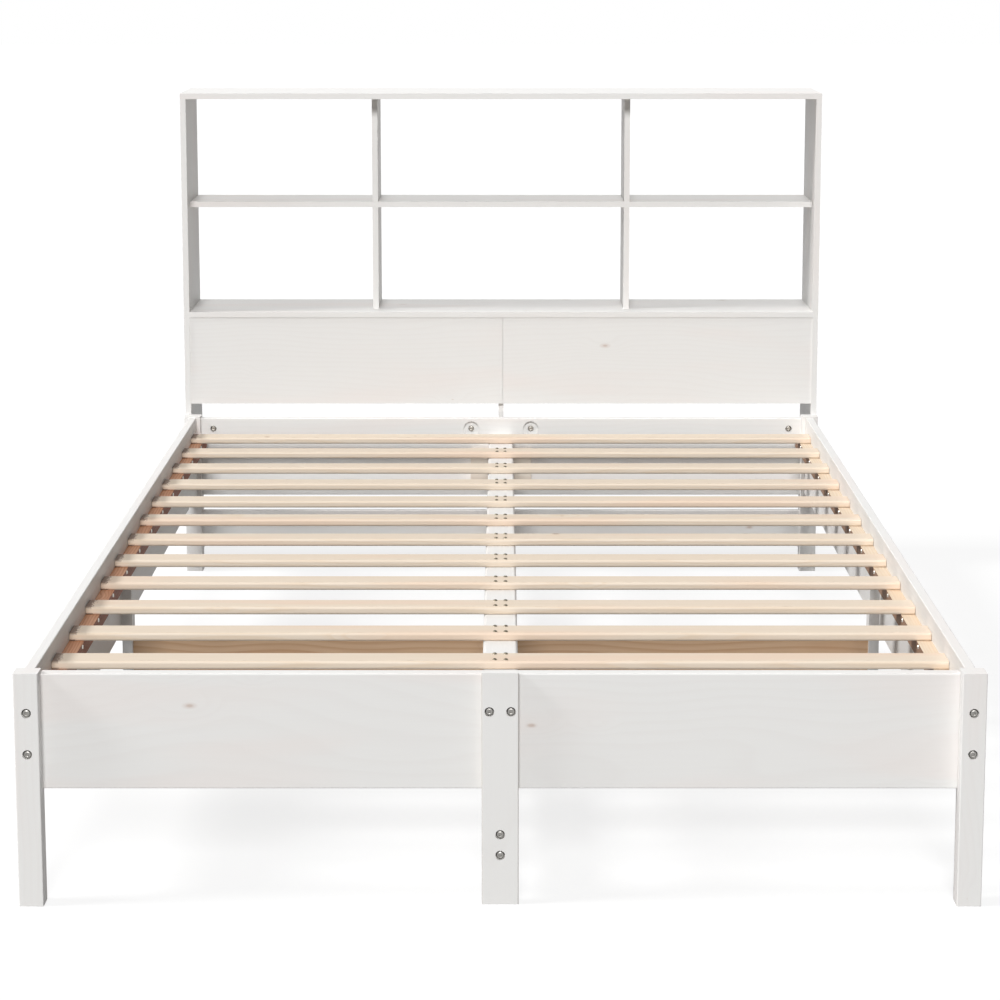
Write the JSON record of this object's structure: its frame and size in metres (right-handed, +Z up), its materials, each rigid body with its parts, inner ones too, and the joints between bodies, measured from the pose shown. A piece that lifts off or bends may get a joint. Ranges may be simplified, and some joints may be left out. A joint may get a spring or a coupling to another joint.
{
  "type": "bookcase headboard bed",
  "caption": "Low wooden bed frame with a slatted base on short legs and an open bookcase of square bays as its headboard.",
  "frame": {"origin": "on the floor, under the middle of the box around bed and bookcase", "axes": "+X to the right and +Y towards the head for someone standing at the foot, +Z up"},
  "size_m": [1.255, 2.264, 0.947],
  "materials": {
    "white_washed_pine": "pine under a thin white wash, satin",
    "slat_pine": "planed pale pine, no coating",
    "bare_pine_frame": "planed warm pine, no coating",
    "zinc_steel": "zinc-plated steel",
    "beech_pegs": "plain beech"
  },
  "bodies": {
    "root": {"back_stretcher": "white_washed_pine", "beam_bolts": "zinc_steel", "bookcase_side_left": "white_washed_pine", "bookcase_side_right": "white_washed_pine", "bookcase_support": "white_washed_pine", "bookcase_top": "white_washed_pine", "bottom_shelf": "white_washed_pine", "cap_nuts": "zinc_steel", "case_pegs": "beech_pegs", "centre_barrel_nuts": "zinc_steel", "centre_beam": "white_washed_pine", "centre_stretcher_foot": "white_washed_pine", "centre_stretcher_head": "white_washed_pine", "divider_left": "white_washed_pine", "divider_right": "white_washed_pine", "fixing_bolts": "zinc_steel", "foot_beam_block": "bare_pine_frame", "foot_board_left": "white_washed_pine", "foot_board_right": "white_washed_pine", "foot_bolts": "zinc_steel", "foot_centre_leg": "white_washed_pine", "foot_leg_left": "white_washed_pine", "foot_leg_right": "white_washed_pine", "frame_pegs": "beech_pegs", "front_panel_left": "white_washed_pine", "front_panel_right": "white_washed_pine", "head_beam_block": "bare_pine_frame", "head_bolts": "zinc_steel", "head_leg_left": "white_washed_pine", "head_leg_right": "white_washed_pine", "head_rail": "white_washed_pine", "mid_centre_leg": "white_washed_pine", "mid_leg_left": "white_washed_pine", "mid_leg_right": "white_washed_pine", "mid_stretcher": "bare_pine_frame", "middle_shelf": "white_washed_pine", "rail_barrel_nuts": "zinc_steel", "side_rail_left": "white_washed_pine", "side_rail_right": "white_washed_pine", "slat_01": "slat_pine", "slat_02": "slat_pine", "slat_03": "slat_pine", "slat_04": "slat_pine", "slat_05": "slat_pine", "slat_06": "slat_pine", "slat_07": "slat_pine", "slat_08": "slat_pine", "slat_09": "slat_pine", "slat_10": "slat_pine", "slat_11": "slat_pine", "slat_12": "slat_pine", "slat_ledger_left": "bare_pine_frame", "slat_ledger_right": "bare_pine_frame", "spine_bolts": "zinc_steel", "tie_rail": "white_washed_pine"}
  },
  "joints": []
}
